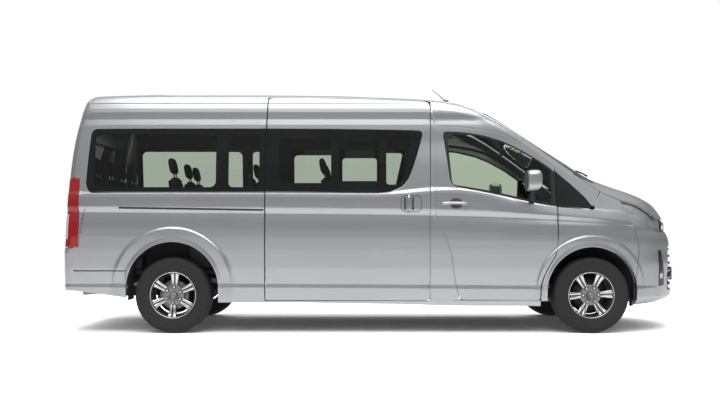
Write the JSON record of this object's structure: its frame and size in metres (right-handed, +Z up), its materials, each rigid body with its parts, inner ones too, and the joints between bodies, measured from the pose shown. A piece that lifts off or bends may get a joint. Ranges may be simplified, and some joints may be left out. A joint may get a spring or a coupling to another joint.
{
  "type": "minibus",
  "caption": "High-roof long-wheelbase minibus with a short bonnet, steered front wheels, opening doors, bonnet and tailgate, and rows of seats.",
  "frame": {"origin": "on the ground under the middle of the vehicle's length and width", "axes": "+X forward to the nose, +Y to the vehicle's left, +Z up"},
  "size_m": [5.915, 2.38, 2.3212],
  "materials": {
    "paint": "metallic silver with a lavender cast",
    "dark_glass": "smooth, dark tint",
    "clear_glass": "smooth, light green tint",
    "lamp_lens": "clear moulded lens",
    "red_lens": "red moulded lens",
    "black_trim": "fine-grained black",
    "floor_lining": "ribbed dark grey lining",
    "chassis_steel": "black chassis paint",
    "cast_metal": "rough cast",
    "exhaust_steel": "dull heat-tinted steel",
    "tyre_rubber": "matte rubber",
    "rim_alloy": "machined faces, dark pockets",
    "interior_plastic": "grained grey-beige",
    "seat_fabric": "woven dark grey cloth"
  },
  "bodies": {
    "body": {"roof": "paint", "side_windows": "dark_glass", "windscreen": "clear_glass", "side_panel_right": "paint", "side_panel_left": "paint", "sliding_door": "paint", "cowl_panel": "black_trim", "front_wings": "paint", "headlights": "lamp_lens", "tail_lamps": "red_lens", "grille": "black_trim", "front_bumper": "paint", "rear_bumper": "paint", "floor": "floor_lining", "arch_liners": "black_trim", "chassis_frame": "chassis_steel", "engine": "cast_metal", "prop_shaft": "chassis_steel", "rear_axle": "chassis_steel", "leaf_springs": "chassis_steel", "fuel_tank": "black_trim", "exhaust": "exhaust_steel", "front_subframe": "chassis_steel", "front_arms": "chassis_steel", "spare_wheel": "tyre_rubber", "dashboard": "interior_plastic", "steering_wheel": "interior_plastic", "seats": "seat_fabric", "antenna": "black_trim"},
    "bonnet": {"bonnet": "paint"},
    "tailgate": {"tailgate": "paint", "tailgate_glass": "dark_glass"},
    "front_door_right": {"front_door_right": "paint", "front_door_glass_right": "clear_glass", "mirror_right": "paint"},
    "front_door_left": {"front_door_left": "paint", "front_door_glass_left": "clear_glass", "mirror_left": "paint"},
    "knuckle_right": {"knuckle_right": "cast_metal"},
    "knuckle_left": {"knuckle_left": "cast_metal"},
    "wheel_front_right": {"tyre_front_right": "tyre_rubber", "rim_front_right": "rim_alloy"},
    "wheel_front_left": {"tyre_front_left": "tyre_rubber", "rim_front_left": "rim_alloy"},
    "wheel_rear_right": {"tyre_rear_right": "tyre_rubber", "rim_rear_right": "rim_alloy"},
    "wheel_rear_left": {"tyre_rear_left": "tyre_rubber", "rim_rear_left": "rim_alloy"}
  },
  "joints": [
    {"name": "front_door_right_hinge", "type": "hinge", "parent": "body", "child": "front_door_right", "pos_m": [1.6675, -0.937, 0.91], "axis": [0, 0, 1], "range_deg": [0, 70]},
    {"name": "front_door_left_hinge", "type": "hinge", "parent": "body", "child": "front_door_left", "pos_m": [1.6675, 0.937, 0.91], "axis": [0, 0, -1], "range_deg": [0, 70]},
    {"name": "tailgate_hinge", "type": "hinge", "parent": "body", "child": "tailgate", "pos_m": [-2.6395, 0, 2.213], "axis": [0, 1, 0], "range_deg": [0, 85]},
    {"name": "bonnet_hinge", "type": "hinge", "parent": "body", "child": "bonnet", "pos_m": [2.0275, 0, 1.456], "axis": [0, -1, 0], "range_deg": [0, 55]},
    {"name": "steer_right", "type": "hinge", "parent": "body", "child": "knuckle_right", "pos_m": [1.9475, -0.73, 0.352], "axis": [0, 0, 1], "range_deg": [-33, 33]},
    {"name": "steer_left", "type": "hinge", "parent": "body", "child": "knuckle_left", "pos_m": [1.9475, 0.73, 0.352], "axis": [0, 0, 1], "range_deg": [-33, 33]},
    {"name": "front_wheel_right_spin", "type": "hinge", "parent": "knuckle_right", "child": "wheel_front_right", "pos_m": [1.9475, -0.837, 0.352], "axis": [0, 1, 0], "continuous": true},
    {"name": "front_wheel_left_spin", "type": "hinge", "parent": "knuckle_left", "child": "wheel_front_left", "pos_m": [1.9475, 0.837, 0.352], "axis": [0, 1, 0], "continuous": true},
    {"name": "rear_wheel_right_spin", "type": "hinge", "parent": "body", "child": "wheel_rear_right", "pos_m": [-1.9125, -0.837, 0.352], "axis": [0, 1, 0], "continuous": true},
    {"name": "rear_wheel_left_spin", "type": "hinge", "parent": "body", "child": "wheel_rear_left", "pos_m": [-1.9125, 0.837, 0.352], "axis": [0, 1, 0], "continuous": true}
  ],
  "couplings": [
    {"joint": "steer_left", "follows": "steer_right", "ratio": 1}
  ]
}
